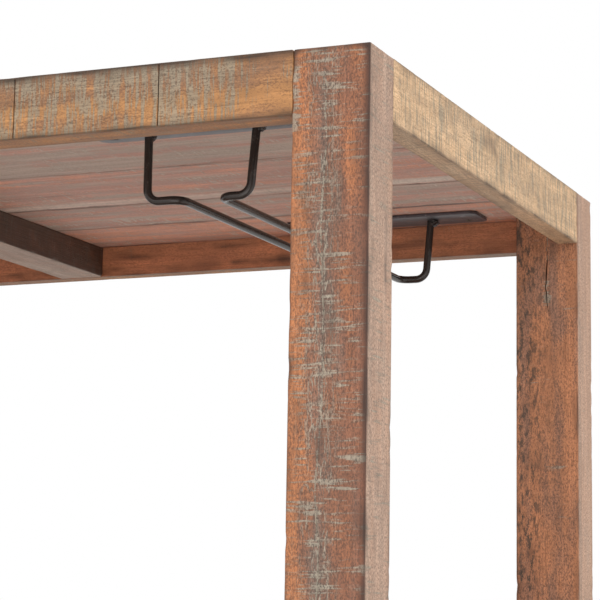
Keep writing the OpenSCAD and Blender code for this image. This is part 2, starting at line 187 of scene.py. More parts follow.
def timber_finish(name, wood, grit):
    """Old timber: its points say where it is painted, soiled, whitened (by age, and as a painted
    sheen on faces turned to the light at the right), reddened, veined and blotched, and the rest
    is grain. Grit says how rough it looks, from 0 to 1."""
    f = Finish(name)
    grain = f.attribute("grain", "Vector")
    painted, tone, soil = f.parts(f.attribute("wear", "Vector"))
    faded, reddened, veined = f.parts(f.attribute("cast", "Vector"))
    blotched = f.attribute("blotch")
    figure = f.noise(grain, (0.30, 0.020, 0.020), 1.5, 3.1).wave(4.0)
    band = f.noise(grain, (0.40, 0.012, 0.012), 2.0, 9.4).step(0.32, 0.68)
    cloud = f.noise(grain, (0.045, 0.014, 0.014), 2.0, 2.2).step(0.32, 0.68)
    fibre = f.noise(grain, (0.045, 0.0014, 0.0014), 3.0, 5.2, 0.65).step(0.32, 0.68)
    speck = f.noise(grain, (0.0020, 0.0011, 0.0011), 3.0, 1.3, 0.75).step(0.36, 0.64)
    saw = f.noise(grain, (0.0028, 0.026, 0.026), 3.0, 8.8, 0.6).step(0.34, 0.66)
    scratch = f.noise(grain, (0.0011, 0.022, 0.022), 2.0, 4.4, 0.6).step(0.34, 0.66)
    pore = f.noise(grain, (0.0240, 0.0009, 0.0009), 2.0, 7.7).step(0.60, 0.74)
    crackle = f.noise(grain, (0.030, 0.0050, 0.0050), 2.0, 6.1)
    spot = f.noise(grain, (0.0100, 0.0036, 0.0036), 4.0, 12.6, 0.75).step(0.49, 0.60)
    vein = 1.0 - f.math("ABSOLUTE", crackle - 0.5).step(0.006, 0.034)
    hue = tone + (band - 0.5) * 0.32 + (cloud - 0.5) * 0.25 + (speck - 0.5) * 0.20
    colour = f.mix(hue.step(0.05, 0.45), wood["grey"], wood["brown"])
    colour = f.mix(hue.step(0.40, 0.90), colour, wood["orange"])
    colour = f.mix(reddened, colour, wood["red"])
    # Whitened where the mask is high: real fading on some faces, a painted sheen of the light at
    # the right on others
    colour = f.mix(faded * (0.7 + 0.3 * speck), colour, wood["pale"])
    colour = f.mix(figure * fibre * 0.30, colour, wood["dark"])
    contrast = 0.46 * grit
    colour = f.shade(colour, 0.86 - contrast / 2 + 0.32 * fibre + contrast * speck)
    crust = painted + 0.75 * saw + 0.50 * scratch + 0.25 * speck + 0.25 * cloud - 0.875
    crust = crust.step(0.10, 0.62)
    crust = f.math("MAXIMUM", crust, veined * vein * (0.45 + 0.65 * speck))
    colour = f.mix(crust * 0.78, colour, f.shade(wood["paint"], 0.80 + 0.40 * fibre))
    rim = crust * (1.0 - crust)
    colour = f.mix(rim * (0.25 + 0.75 * (1.0 - speck)), colour, wood["dark"])
    pits = (1.0 - speck).step(0.66, 1.0) * (0.32 * grit + 0.35 * grit * crust)
    colour = f.mix(pits, colour, wood["dark"])
    colour = f.mix(pore * 0.22, colour, wood["dark"])
    colour = f.mix(blotched * spot * (0.55 + 0.45 * speck), colour, wood["mould"])
    grime = (soil + (speck - 0.5) * 0.25 + (cloud - 0.5) * 0.2).step(0.15, 1.0)
    colour = f.mix(grime * 0.85, colour, f.shade(wood["dark"], 0.65 + 0.5 * fibre))
    height = fibre * 0.35 + speck * (0.4 * grit) + saw * 0.2 - pore * 0.4 + crust * 0.25
    return f.close(colour, 0.60 + 0.14 * crust, height=height, relief=0.0004)


def steel_finish(name, film, bare, roughness, metallic, rubbed_from):
    """Steel under a thin uneven film, rubbed through where its cloud rises over a level."""
    f = Finish(name)
    place = f.place()
    cloud = f.noise(place, 0.012, 3.0, 2.7, 0.6)
    speck = f.noise(place, 0.0016, 2.0, 4.1, 0.6)
    rubbed = (cloud * 0.8 + speck * 0.25).step(rubbed_from, rubbed_from + 0.16)
    colour = f.shade(f.mix(rubbed * 0.8, film, bare), 0.82 + 0.36 * speck)
    rough = roughness + 0.25 * (cloud - 0.5) + 0.15 * (speck - 0.5)
    return f.close(colour, rough, metallic, cloud * 0.6 + speck * 0.4, 0.00015)


def rubber_finish(name, black, dusty):
    """Black rubber, dusty where it has rolled."""
    f = Finish(name)
    place = f.place()
    skin = f.noise(place, 0.0012, 3.0, 1.1, 0.6)
    dust = f.noise(place, 0.014, 3.0, 3.7, 0.6).step(0.48, 0.75)
    colour = f.shade(f.mix(dust * 0.5, black, dusty), 0.75 + 0.5 * skin)
    return f.close(colour, 0.70 + 0.18 * dust, 0.0, skin, 0.0002)


def stage_finish(name, colour):
    """Matt studio floor, hardly mottled."""
    f = Finish(name)
    mottle = f.noise(f.place(), 0.9, 2.0, 5.5)
    return f.close(f.shade(colour, 0.98 + 0.04 * mottle), 0.9)


# Bare metal, roughness, metallic, and the cloud's level over which the film is rubbed through
METALS = {
    "strap_steel": (tint(140, 136, 138), 0.40, 0.55, 0.58),
    "wire_steel": (tint(104, 98, 93), 0.20, 0.45, 0.60),
    "screw_steel": (tint(128, 122, 116), 0.38, 0.70, 0.52),
    "insert_brass": (tint(222, 190, 118), 0.35, 0.85, 0.50),
    "stem_steel": (tint(196, 196, 198), 0.30, 0.85, 0.50),
    "fork_steel": (tint(118, 113, 108), 0.38, 0.60, 0.56),
    "bolt_steel": (tint(208, 208, 210), 0.28, 0.90, 0.50),
    "wheel_iron": (tint(126, 120, 114), 0.52, 0.55, 0.52),
    "pedal_steel": (tint(120, 112, 106), 0.40, 0.15, 0.62),
}


def finish(slot):
    """The material of a slot, made once from the colours that the scene holds for it."""
    name = slot + "_finish"
    if name in bpy.data.materials:
        return bpy.data.materials[name]
    colours = bpy.context.scene.bar_cart_colours
    if slot in WOODS:
        palette = getattr(colours, slot)
        shades = {key: tuple(getattr(palette, key)) for key in SHADES}
        return timber_finish(name, shades, GRIT[slot])
    if slot in METALS:
        return steel_finish(name, tuple(getattr(colours, slot)), *METALS[slot])
    return rubber_finish(name, tuple(colours.tyre_rubber), tuple(colours.tyre_dust))


# ---- Mesh helpers -----------------------------------------------------------


def add_object(name, data):
    made = bpy.data.objects.new(name, data)
    bpy.context.scene.collection.objects.link(made)
    return made


def evaluated_mesh(piece):
    """The plain mesh that a piece's modifiers make."""
    graph = bpy.context.evaluated_depsgraph_get()
    return bpy.data.meshes.new_from_object(piece.evaluated_get(graph))


def smooth(mesh, corner):
    """Shades a mesh smooth, except over corners sharper than that many degrees."""
    mesh.polygons.foreach_set("use_smooth", [True] * len(mesh.polygons))
    mesh.set_sharp_from_angle(angle=math.radians(corner))


def to_object(name, points, faces):
    """A mesh at the origin."""
    mesh = bpy.data.meshes.new(name)
    mesh.from_pydata([tuple(p) for p in points], [], faces)
    smooth(mesh, 35)
    return add_object(name, mesh)


def tube_faces(rings, width):
    """Quads between rings of points that follow each other, with a face on each end."""
    faces = []
    for a in range(0, (rings - 1) * width, width):
        for j in range(width):
            k = (j + 1) % width
            faces.append((a + j, a + k, a + width + k, a + width + j))
    faces.append(tuple(reversed(range(width))))
    faces.append(tuple(range((rings - 1) * width, rings * width)))
    return faces


def keep(piece, name, kind, field, values):
    """Stores one value for each point of a piece under a name that its finish reads."""
    made = piece.data.attributes.new(name, kind, "POINT")
    made.data.foreach_set(field, np.asarray(values, np.float32).ravel())


def hand_over(piece, slot, body, *nodes):
    """Gives a finished piece its finish and its body, and hides the CAD nodes that it stands for.
    """
    piece.data.materials.clear()
    piece.data.materials.append(finish(slot))
    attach(piece, body)
    if nodes:
        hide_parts(*nodes)


# ---- Timber -----------------------------------------------------------------


class Drift:
    """A smooth random field over a timber: a sum of sines with about the given wavelengths."""

    def __init__(self, rng, lengths, waves=6):
        self.pitch = rng.normal(0, 1, (waves, 3)) / np.array(lengths)
        self.phase = rng.uniform(0, math.tau, waves)
        self.gain = math.sqrt(2 / waves)

    def at(self, places):
        angle = places @ self.pitch.T * math.tau + self.phase
        return np.sin(angle).sum(-1) * self.gain

    def along(self, distances):
        places = np.zeros((len(distances), 3))
        places[:, 0] = distances
        return self.at(places)


# Where a timber's own axes go: along the grain, then u and v across it
AXES = {"X": (0, 1, 2), "Y": (1, 2, 0), "Z": (2, 0, 1)}
# A timber's four long faces, in the order that the outline runs round them
PLUS_V, MINUS_U, MINUS_V, PLUS_U = range(4)
ARC_STEPS = 3
# The whole of a face, as shares of its length or width
ALL = (0.0, 1.0)
# In millimetres: clear of the arrises, half a saw cut, and the depth past which a cut is dark
FACE_MARGIN = 0.8
HALF_KERF = 0.6
DARK_DEPTH = 1.0


class Timber:
    """A worn stick or board, lofted along its grain from outline to outline, in millimetres."""

    def __init__(self, low, high, along, seed):
        wear = bpy.context.scene.bar_cart_timber
        self.order = AXES[along]
        self.low = np.array([low[k] for k in self.order]) / MM
        self.high = np.array([high[k] for k in self.order]) / MM
        self.rng = np.random.default_rng(seed)
        self.ease = wear.arris / MM
        self.chips = wear.chips / MM
        self.pitch = wear.slice / MM
        self.step = wear.slice / MM * 1.4
        self.tongues = {}
        self.splits = {}
        self.kerfs = []
        self.stains = []
        self.base = {"paint": 0.0, "tone": 0.5, "soil": 0.1}
        self.base.update(fade=0.0, red=0.0, vein=0.0, blotch=0.0)

    def tongue(self, end, start, low_uv, high_uv):
        """From start to this end (0 or 1) the stick is only as big as the given box."""
        self.tongues[end] = (start / MM, np.array(low_uv) / MM, np.array(high_uv) / MM)

    def split(self, face, place, along, depth=2.5, width=0.5, wander=1.0, slope=0.0):
        """A crack along the grain at a share of the face's width, over a share of its length.
        A shallow one is choked with paint and a deep one is open and dark."""
        self.splits[face] = (place, along, depth, width, wander, slope)

    def kerf(self, face, place, depth=1.2):
        """A saw cut right across a face, at a share of the length."""
        self.kerfs.append((face, self.low[0] + place * (self.high[0] - self.low[0]), depth))

    def stain(self, kind, face, amount, along=ALL, across=ALL, blur=6.0):
        """Adds an amount of one kind of wear, or of the painted sheen, to a field of a face, given
        by shares.
        """
        self.stains.append((kind, face, amount, along, across, blur))

    def scatter(self, kind, face, count, amount, long, wide, along=ALL, across=ALL, blur=1.5):
        """Small stains at random, long along the grain and wide across it, in millimetres."""
        size = abs(self.high - self.low)
        span = size[2] if face in (MINUS_U, PLUS_U) else size[1]
        for _ in range(count):
            t = self.rng.uniform(*along)
            s = self.rng.uniform(*across)
            dt = self.rng.uniform(*long) / size[0] / 2
            ds = self.rng.uniform(*wide) / span / 2
            field = (t - dt, t + dt), (s - ds, s + ds)
            self.stain(kind, face, amount * self.rng.uniform(0.6, 1.1), *field, blur)

    def rounded_rows(self, edge, inward, low, high):
        """Outlines that round a stick's end over, from its end face inwards."""
        rows = []
        for share in (0.0, 0.3, 1.0):
            inset = self.ease * (1 - math.sqrt(1 - (1 - share) ** 2))
            rows.append((edge + inward * self.ease * share, low, high, inset))
        return rows

    def rows(self):
        """The outlines' places along the grain, each with its box and its inset."""
        full = (self.low[1:], self.high[1:])
        first, last = self.low[0], self.high[0]
        head, tail = [], []
        if 0 in self.tongues:
            start, *small = self.tongues[0]
            head = self.rounded_rows(first, 1, *small) + [(start, *small, 0.0)]
            first = start
        if 1 in self.tongues:
            start, *small = self.tongues[1]
            tail = [(start, *small, 0.0)] + self.rounded_rows(last, -1, *small)[::-1]
            last = start
        count = max(2, round((last - first) / self.pitch))
        marks = np.linspace(first + self.ease, last - self.ease, count + 1)[1:-1]
        for _, cut, _ in self.kerfs:
            marks = marks[abs(marks - cut) > self.pitch * 0.4]
            marks = np.sort(np.append(marks, (cut - HALF_KERF, cut, cut + HALF_KERF)))
        body = self.rounded_rows(first, 1, *full) + [(mark, *full, 0.0) for mark in marks]
        return head + body + self.rounded_rows(last, -1, *full)[::-1] + tail

    def knots(self, face, along, span):
        """Points across a face, as shares of it with how deep a split goes at each."""
        guard = FACE_MARGIN / span
        none = np.zeros(len(along))
        steps = max(2, round(float(np.median(span)) / self.step))
        if face not in self.splits:
            return [(guard + (1 - 2 * guard) * k / steps, none) for k in range(steps + 1)]
        place, (start, stop), depth, width, wander, slope = self.splits[face]
        drift = Drift(self.rng, (140.0, 1.0, 1.0), 4).along(along)
        t = (along - along[0]) / (along[-1] - along[0])
        centre = place + slope * (t - start) + drift * wander / span
        centre = np.clip(centre, 0.1, 0.9)
        reach = np.clip(np.minimum(t - start, stop - t) / 0.05, 0, 1)
        breath = 0.45 + 0.55 * abs(Drift(self.rng, (45.0, 1.0, 1.0), 4).along(along))
        depth = depth * reach * breath
        half = width / 2 / span
        left = max(1, round(steps * place))
        right = max(1, steps - left)
        knots = [(guard + (centre - half - guard) * k / left, none) for k in range(left)]
        knots += [(centre - half, none), (centre, depth), (centre + half, none)]
        room = 1 - guard - centre - half
        return knots + [(centre + half + room * k / right, none) for k in range(1, right + 1)]

    def build(self, name):
        """Lofts the outlines into a closed piece that carries grain, wear and painted sheen."""
        rows = self.rows()
        along = np.array([row[0] for row in rows])
        inset = np.array([row[3] for row in rows])[:, None]
        low = np.array([row[1] for row in rows]) + inset
        high = np.array([row[2] for row in rows]) - inset
        most = (high - low).min(1) * 0.4
        centres, radii = [], []
        for su, sv in ((1, 1), (-1, 1), (-1, -1), (1, -1)):
            chip = np.maximum(Drift(self.rng, (30.0, 1.0, 1.0)).along(along) - 0.8, 0)
            radius = np.minimum(self.ease * 0.7 + self.chips * chip, most)
            edge_u = high[:, 0] if su > 0 else low[:, 0]
            edge_v = high[:, 1] if sv > 0 else low[:, 1]
            centres.append(np.stack([edge_u - su * radius, edge_v - sv * radius], 1))
            radii.append(radius[:, None])
        ripple = self.rng.uniform(0, 0.15, len(rows))
        sag = Drift(self.rng, (90.0, 30.0, 30.0))
        places, pushes, edges, shares, faces, deep = [], [], [], [], [], []
        zero = np.zeros(len(rows))

        def column(place, push, edge, share, face, depth):
            places.append(np.column_stack([along, place]))
            pushes.append(push)
            edges.append(edge)
            shares.append(share)
            faces.append(np.full(len(rows), face))
            deep.append(depth)

        for corner in range(4):
            after = (corner + 1) % 4
            for k in range(ARC_STEPS + 1):
                angle = math.radians(90 * (corner + k / ARC_STEPS))
                turn = np.array([math.cos(angle), math.sin(angle)])
                late = k * 2 > ARC_STEPS
                face = corner if late else (corner + 3) % 4
                place = centres[corner] + radii[corner] * turn
                column(place, np.zeros((len(rows), 2)), zero, zero + (not late), face, zero)
            start = centres[corner] + radii[corner] * turn
            stop = centres[after] + radii[after] * turn
            span = np.linalg.norm(stop - start, axis=1)
            cuts = zero.copy()
            for face, cut, depth in self.kerfs:
                cuts[(abs(along - cut) < 0.1) & (face == corner)] = depth
            for share, depth in self.knots(corner, along, span):
                depth = np.maximum(depth, cuts)
                place = start + (stop - start) * share[:, None]
                edge = np.minimum(share, 1 - share) * span
                hollow = 0.12 * (1 + sag.at(np.column_stack([along, place]))).clip(0, 2)
                worn = (ripple + hollow) * np.minimum(edge / 3, 1) + depth
                column(place, -turn * worn[:, None], edge, share, corner, depth)
        places = np.stack(places, 1)
        moved = places.copy()
        moved[:, :, 1:] += np.stack(pushes, 1)
        world = np.zeros((places.shape[0] * places.shape[1], 3))
        for k, axis in enumerate(self.order):
            world[:, axis] = moved[:, :, k].ravel() * MM
        piece = to_object(name, world, tube_faces(len(rows), places.shape[1]))
        fields = [np.stack(field, 1).ravel() for field in (edges, shares, faces, deep)]
        self.lay_out(piece, places.reshape(-1, 3), *fields)
        return piece

    def lay_out(self, piece, places, edge, share, face, deep):
        """Writes where the grain runs, and every kind of wear and the painted sheen at each point.
        """
        length = self.high[0] - self.low[0]
        t = (places[:, 0] - self.low[0]) / length
        size = self.high - self.low
        span = np.where((face == MINUS_U) | (face == PLUS_U), size[2], size[1])
        cloud = Drift(self.rng, (150.0, 30.0, 30.0))
        dirt = Drift(self.rng, (60.0, 14.0, 14.0))
        look = {key: np.full(len(places), value) for key, value in self.base.items()}
        look["tone"] += 0.08 * cloud.at(places)
        look["soil"] += 0.08 * dirt.at(places) + 0.35 * np.clip(1 - edge / 2.5, 0, 1) ** 2
        for kind, which, amount, along, across, blur in self.stains:
            weight = 1.0
            if along != ALL or across != ALL:
                here = np.minimum(t - along[0], along[1] - t) * length
                if across != ALL:
                    side = np.minimum(share - across[0], across[1] - share) * span
                    here = np.minimum(here, side)
                weight = np.clip(0.5 + here / blur, 0, 1)
            look[kind] += np.where(face == which, weight * amount, 0)
        look["soil"] += np.where(deep > DARK_DEPTH, 1, 0)
        look["paint"] += np.where(deep <= DARK_DEPTH, 2 * deep, 0)
        wear = np.stack([look["paint"], look["tone"], look["soil"]], 1).clip(-1, 2)
        cast = np.stack([look["fade"], look["red"], look["vein"]], 1).clip(0, 1)
        grain = places * MM + self.rng.uniform(0, 30, 3)
        for name, values in (("grain", grain), ("wear", wear), ("cast", cast)):
            keep(piece, name, "FLOAT_VECTOR", "vector", values)
        keep(piece, "blotch", "FLOAT", "value", look["blotch"].clip(0, 1))


def inner_span(axis, low_node, high_node):
    """From the far side of one node to the near side of another, along an axis."""
    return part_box(low_node)[1][axis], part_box(high_node)[0][axis]


def make_posts():
    """Four posts, each cut from a different stick."""
    for seed, corner in enumerate(CORNERS):
        node = f"post_{corner}"
        stick = Timber(*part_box(node), "Z", 11 + seed)
        stick.base.update(tone=0.55)
        for face in range(4):
            many = 14 if (corner, face) == ("front_right", MINUS_V) else 46
            stick.scatter("paint", face, many, 0.40, (1.5, 5), (8, 30))
            stick.scatter("soil", face, 12, 0.25, (10, 50), (3, 9))
            stick.stain("blotch", face, 0.35, across=(-0.1, 0.25), blur=14)
        if corner == "front_right":
            front_post_wear(stick)
        if corner == "rear_right":
            rear_post_wear(stick)
        hand_over(stick.build(node + "_timber"), "post_wood", CART, node)


def front_post_wear(stick):
    """The post that is seen from nearest: orange left edge, mauve band, filled split, and a right
    face whitened as a painted sheen of the light at the right.
    """
    stick.base.update(tone=0.48, paint=-0.14)
    stick.stain("tone", MINUS_V, 0.36, across=(-0.1, 0.20), blur=8)
    stick.stain("tone", MINUS_V, -0.30, across=(0.25, 0.52), blur=12)
    stick.stain("paint", MINUS_V, 0.10, across=(0.05, 0.52), blur=16)
    stick.stain("vein", MINUS_V, 1.0, across=(0.16, 0.60), blur=12)
    stick.split(MINUS_V, 0.36, (0.30, 0.995), 0.45, 1.6, 1.0, 0.10)
    stick.scatter("paint", MINUS_V, 70, 0.34, (1.5, 3.5), (8, 26), across=(0.0, 0.9), blur=2)
    stick.scatter("paint", MINUS_V, 26, 0.50, (1.5, 4.5), (8, 22), across=(0.05, 0.9), blur=2)
    stick.scatter("paint", MINUS_V, 26, 0.46, (1.5, 4.5), (8, 24), along=(0.52, 0.76), blur=2)
    stick.stain("paint", MINUS_V, 0.35, along=(0.94, 0.99), across=(0.40, 0.62), blur=14)
    stick.stain("paint", MINUS_V, 0.8, along=(0.93, 0.985), across=(-0.1, 0.045), blur=3)
    stick.stain("red", MINUS_V, 0.34, across=(0.60, 1.1), blur=14)
    stick.stain("red", MINUS_V, 0.5, across=(0.945, 1.1), blur=2)
    stick.stain("soil", MINUS_V, 0.42, across=(0.965, 1.1), blur=1.5)
    stick.stain("soil", MINUS_V, 0.5, along=(0.9975, 1.1), blur=1)
    # Painted sheen: the right face is whitened as if the light at the right glanced off it
    stick.stain("fade", PLUS_U, 0.85)
    stick.stain("soil", PLUS_U, 0.08)
    stick.stain("red", PLUS_U, 0.35, across=(-0.1, 0.10), blur=4)


def rear_post_wear(stick):
    """Orange brown with black blotches beside an open split, and a right face whitened as a
    painted sheen.
    """
    stick.base.update(tone=0.76, paint=-0.45, fade=0.14)
    stick.stain("blotch", MINUS_V, 0.80, across=(-0.1, 0.38), blur=16)
    stick.stain("blotch", MINUS_V, 0.34, across=(0.30, 0.75), blur=20)
    stick.scatter("tone", MINUS_V, 24, -0.14, (30, 120), (3, 8), across=(0, 1), blur=4)
    stick.stain("soil", MINUS_V, 0.06, across=(0, 0.45), blur=14)
    stick.scatter("soil", MINUS_V, 60, 0.30, (5, 16), (2, 5), across=(0, 0.5), blur=3)
    stick.split(MINUS_V, 0.5, (0.855, 0.96), 3.0, 1.4, 1.5)
    stick.stain("paint", MINUS_V, 1.2, along=(0.875, 0.905), across=(0.47, 0.56), blur=4)
    # Painted sheen: the right face is whitened as if the light at the right glanced off it
    stick.stain("fade", PLUS_U, 0.70)


def make_long_rails():
    """Front and rear rails of the three tiers, shouldered between the posts."""
    for row, tier in enumerate(TIERS):
        for side in ("front", "rear"):
            node = f"{tier}_rail_{side}"
            low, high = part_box(node)
            low.x, high.x = inner_span(0, f"post_{side}_left", f"post_{side}_right")
            stick = Timber(low, high, "X", 31 + 2 * row + (side == "rear"))
            stick.base.update(tone=0.85, paint=-0.1)
            stick.chips *= 0.4
            outer = MINUS_U if side == "front" else PLUS_U
            inner = PLUS_U if side == "front" else MINUS_U
            upper = (-0.1, 0.45) if side == "front" else (0.55, 1.1)
            stick.stain("paint", outer, 0.39, blur=10)
            stick.stain("paint", outer, 0.24, across=upper, blur=22)
            stick.stain("tone", outer, -0.30, across=upper, blur=22)
            stick.scatter("paint", outer, 90, 0.22, (2, 7), (20, 70), blur=4)
            stick.scatter("paint", outer, 60, -0.34, (3, 12), (12, 34), blur=4)
            stick.stain("paint", outer, -0.7, along=(0.958, 1.1), blur=24)
            stick.stain("soil", outer, 0.13, along=(0.955, 1.1), blur=12)
            stick.scatter("soil", outer, 9, 0.3, (20, 45), (0.8, 2), along=(0.955, 1), blur=1.2)
            for place in (0.761, 0.888) if side == "front" else (0.2, 0.44):
                stick.kerf(outer, place)
            stick.scatter("soil", outer, 30, 0.2, (20, 90), (0.8, 2.0), blur=1.5)
            for amount, rim in ((0.6, (-0.1, 0.03)), (0.35, (0.98, 1.1))):
                stick.stain("soil", outer, amount, across=rim, blur=1.5)
            stick.stain("red", inner, 0.85)
            stick.stain("paint", inner, -0.35)
            stick.stain("soil", inner, 0.06)
            stick.stain("blotch", inner, 0.22)
            stick.scatter("soil", inner, 50, 0.36, (15, 90), (2, 6), blur=4)
            stick.stain("tone", MINUS_V, -0.40)
            hand_over(stick.build(node + "_timber"), "rail_wood", CART, node)


def make_end_rails():
    """Side rails of the three tiers, shouldered between the posts."""
    for row, tier in enumerate(TIERS):
        for side in ("left", "right"):
            node = f"{tier}_rail_{side}"
            low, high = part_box(node)
            low.y, high.y = inner_span(1, f"post_front_{side}", f"post_rear_{side}")
            stick = Timber(low, high, "Y", 51 + 2 * row + (side == "right"))
            stick.base.update(tone=0.80, paint=-0.1)
            stick.chips *= 0.4
            outer = PLUS_V if side == "right" else MINUS_V
            # Painted sheen: the outer face is whitened as if the light at the right glanced off
            # it; the left rails get the same whitening
            stick.stain("fade", outer, 0.80)
            stick.stain("paint", outer, 0.20, along=(0.06, 0.94), blur=40)
            stick.scatter("paint", outer, 70, 0.20, (1.5, 5), (20, 60), blur=3)
            stick.scatter("soil", outer, 5, 0.22, (25, 45), (8, 16), blur=14)
            stick.stain("soil", outer, 0.40, along=(0.25, 0.27), across=(0.24, 0.42), blur=6)
            stick.stain("soil", outer, 0.44, along=(0.42, 0.50), across=(0.05, 0.38), blur=12)
            lower = (0.975, 1.1) if side == "right" else (-0.1, 0.025)
            stick.stain("soil", outer, 0.25, across=lower, blur=1.5)
            stick.stain("tone", MINUS_U, -0.40)
            stick.stain("fade", MINUS_U, 0.55)
            stick.scatter("soil", MINUS_U, 30, 0.22, (20, 90), (1, 4), blur=2)
            hand_over(stick.build(node + "_timber"), "rail_wood", CART, node)


def make_battens():
    """Cross battens under the middle of each tier, housed between the long rails."""
    for row, tier in enumerate(TIERS):
        node = f"{tier}_batten"
        low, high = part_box(node)
        low.y, high.y = inner_span(1, f"{tier}_rail_front", f"{tier}_rail_rear")
        stick = Timber(low, high, "Y", 71 + row)
        stick.base.update(tone=0.30, paint=0.05)
        for face in (PLUS_V, MINUS_V):
            stick.stain("soil", face, 0.80)
            stick.stain("red", face, 1.0)
        stick.stain("fade", MINUS_U, 0.5)
        hand_over(stick.build(node + "_timber"), "batten_wood", CART, node)


# From silver grey to foxy brown, front board first
BOARD_TONES = (0.10, 0.22, 0.50, 0.44, 0.62)


def deck_board(name, low, high, number, seed):
    """One board; the first and last are notched round the posts."""
    board = Timber(low, high, "X", seed)
    notched = {1: ("front", 0), 5: ("rear", 1)}
    if number in notched:
        side, edge = notched[number]
        for end, hand in enumerate(("left", "right")):
            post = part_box(f"post_{side}_{hand}")
            small = [[low.y, low.z], [high.y, high.z]]
            small[edge][0] = post[1 - edge].y
            board.tongue(end, post[1 - end].x, *small)
    board.base.update(tone=BOARD_TONES[number - 1], paint=-0.12, soil=0.0)
    for face in (PLUS_V, MINUS_V):
        board.scatter("paint", face, 40, 0.3, (20, 160), (2, 12), blur=3)
        board.scatter("tone", face, 24, -0.16, (80, 400), (4, 20), blur=8)
        board.scatter("soil", face, 40, 0.36, (30, 260), (0.8, 3.0), blur=1.5)
        board.stain("soil", face, 0.2, across=(-0.1, 0.012), blur=1.5)
        board.scatter("soil", face, 14, 0.3, (60, 260), (2, 3), across=(0.98, 1.0), blur=1.5)
    if number == 3:
        board.stain("fade", MINUS_V, 0.7, across=(0.84, 0.99), blur=6)
    return board.build(name)


def make_top_boards():
    """Five boards of the worktop, laid side by side."""
    for number in range(1, 6):
        node = f"top_board_{number}"
        piece = deck_board(node + "_timber", *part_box(node), number, 90 + number)
        hand_over(piece, "board_wood", CART, node)


def make_shelf_boards():
    """Five loose boards on each of the two lower tiers."""
    for row, tier in enumerate(("mid", "bottom")):
        node = f"{tier}_shelf_boards"
        shelf_low, shelf_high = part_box(node)
        for number in range(1, 6):
            low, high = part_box(f"top_board_{number}")
            low.z, high.z = shelf_low.z, shelf_high.z
            name = f"{tier}_board_{number}_timber"
            piece = deck_board(name, low, high, number, 100 + 10 * row + number)
            hand_over(piece, "board_wood", CART, *([node] if number == 1 else []))


# ---- Patterns ---------------------------------------------------------------


class Pattern(Wiring):
    """A Geometry Nodes tree with named inputs, ended by Realize Instances and Set Material."""

    def __init__(self, name, inputs):
        self.tree = bpy.data.node_groups.new(name, "GeometryNodeTree")
        kinds = {"Geometry": "NodeSocketGeometry", **inputs}
        self.identifiers = {}
        for label, kind in kinds.items():
            made = self.tree.interface.new_socket(label, in_out="INPUT", socket_type=kind)
            self.identifiers[label] = made.identifier
        self.tree.interface.new_socket(
            "Geometry", in_out="OUTPUT", socket_type="NodeSocketGeometry"
        )
        self.inputs = self.tree.nodes.new("NodeGroupInput").outputs

    def node(self, kind, settings=None, sockets=None, output=0):
        return self.add(kind, settings, sockets).outputs[output]

    def end(self, geometry, slot):
        whole = self.node("GeometryNodeRealizeInstances", sockets={0: geometry})
        sockets = {"Geometry": whole, "Material": finish(slot)}
        dressed = self.node("GeometryNodeSetMaterial", sockets=sockets)
        self.tree.links.new(dressed, self.tree.nodes.new("NodeGroupOutput").inputs[0])
        return self

    def grow(self, name, points, edges, **values):
        """Runs the tree on a mesh of points and edges and returns the plain mesh it makes."""
        mesh = bpy.data.meshes.new(name)
        mesh.from_pydata(points, edges, [])
        seedling = add_object(name + "_seed", mesh)
        modifier = seedling.modifiers.new("pattern", "NODES")
        modifier.node_group = self.tree
        for label, value in values.items():
            modifier[self.identifiers[label]] = value
        grown = evaluated_mesh(seedling)
        seedling.modifiers.remove(modifier)
        bpy.data.objects.remove(seedling)
        return add_object(name, grown)


def softened(node, width, segments=2):
    """A copy of a CAD node with its hard edges rounded over."""
    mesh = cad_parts[node].data.copy()
    work = bmesh.new()
    work.from_mesh(mesh)
    bmesh.ops.remove_doubles(work, verts=work.verts, dist=1e-6)
    bmesh.ops.dissolve_limit(
        work, angle_limit=math.radians(0.5), verts=work.verts, edges=work.edges
    )
    work.to_mesh(mesh)
    work.free()
    for layer in list(mesh.attributes):
        if layer.name == "custom_normal":
            mesh.attributes.remove(layer)
    piece = add_object(node + "_worked", mesh)
    bevel = piece.modifiers.new("bevel", "BEVEL")
    bevel.width = width
    bevel.segments = segments
    bevel.limit_method = "ANGLE"
    bevel.angle_limit = math.radians(32)
    worked = evaluated_mesh(piece)
    piece.modifiers.remove(bevel)
    piece.data = worked
    smooth(worked, 40)
    return piece


def lathe(name, profile, centre, turns=96):
    """Spins a closed profile of (radius, side) pairs round a cross axle along Y."""
    points = []
    for i in range(turns):
        angle = math.tau * i / turns
        for radius, side in profile:
            offset = (radius * math.cos(angle), side, radius * math.sin(angle))
            points.append(centre + Vector(offset))
    width = len(profile)
    faces = []
    for i in range(turns):
        a, b = i * width, (i + 1) % turns * width
        for j in range(width):
            k = (j + 1) % width
            faces.append((a + j, a + k, b + k, b + j))
    return to_object(name, points, faces)


# ---- Stemware racks ---------------------------------------------------------


def wire_pattern():
    """A round wire bent along a line of straight stretches."""
    sizes = {"Wire radius": "NodeSocketFloat", "Bend radius": "NodeSocketFloat"}
    rod = Pattern("bent_wire", sizes)
    line = rod.node("GeometryNodeMeshToCurve", sockets={0: rod.inputs["Geometry"]})
    bends = {"Curve": line, "Count": 10, "Radius": rod.inputs["Bend radius"]}
    bent = rod.node("GeometryNodeFilletCurve", {"mode": "POLY"}, bends)
    even = rod.node("GeometryNodeResampleCurve", {"mode": "EVALUATED"}, {"Curve": bent})
    ring = {"Resolution": 20, "Radius": rod.inputs["Wire radius"]}
    round_bar = rod.node("GeometryNodeCurvePrimitiveCircle", {"mode": "RADIUS"}, ring)
    sweep = {"Curve": even, "Profile Curve": round_bar, "Fill Caps": True}
    return rod.end(rod.node("GeometryNodeCurveToMesh", sockets=sweep), "wire_steel")


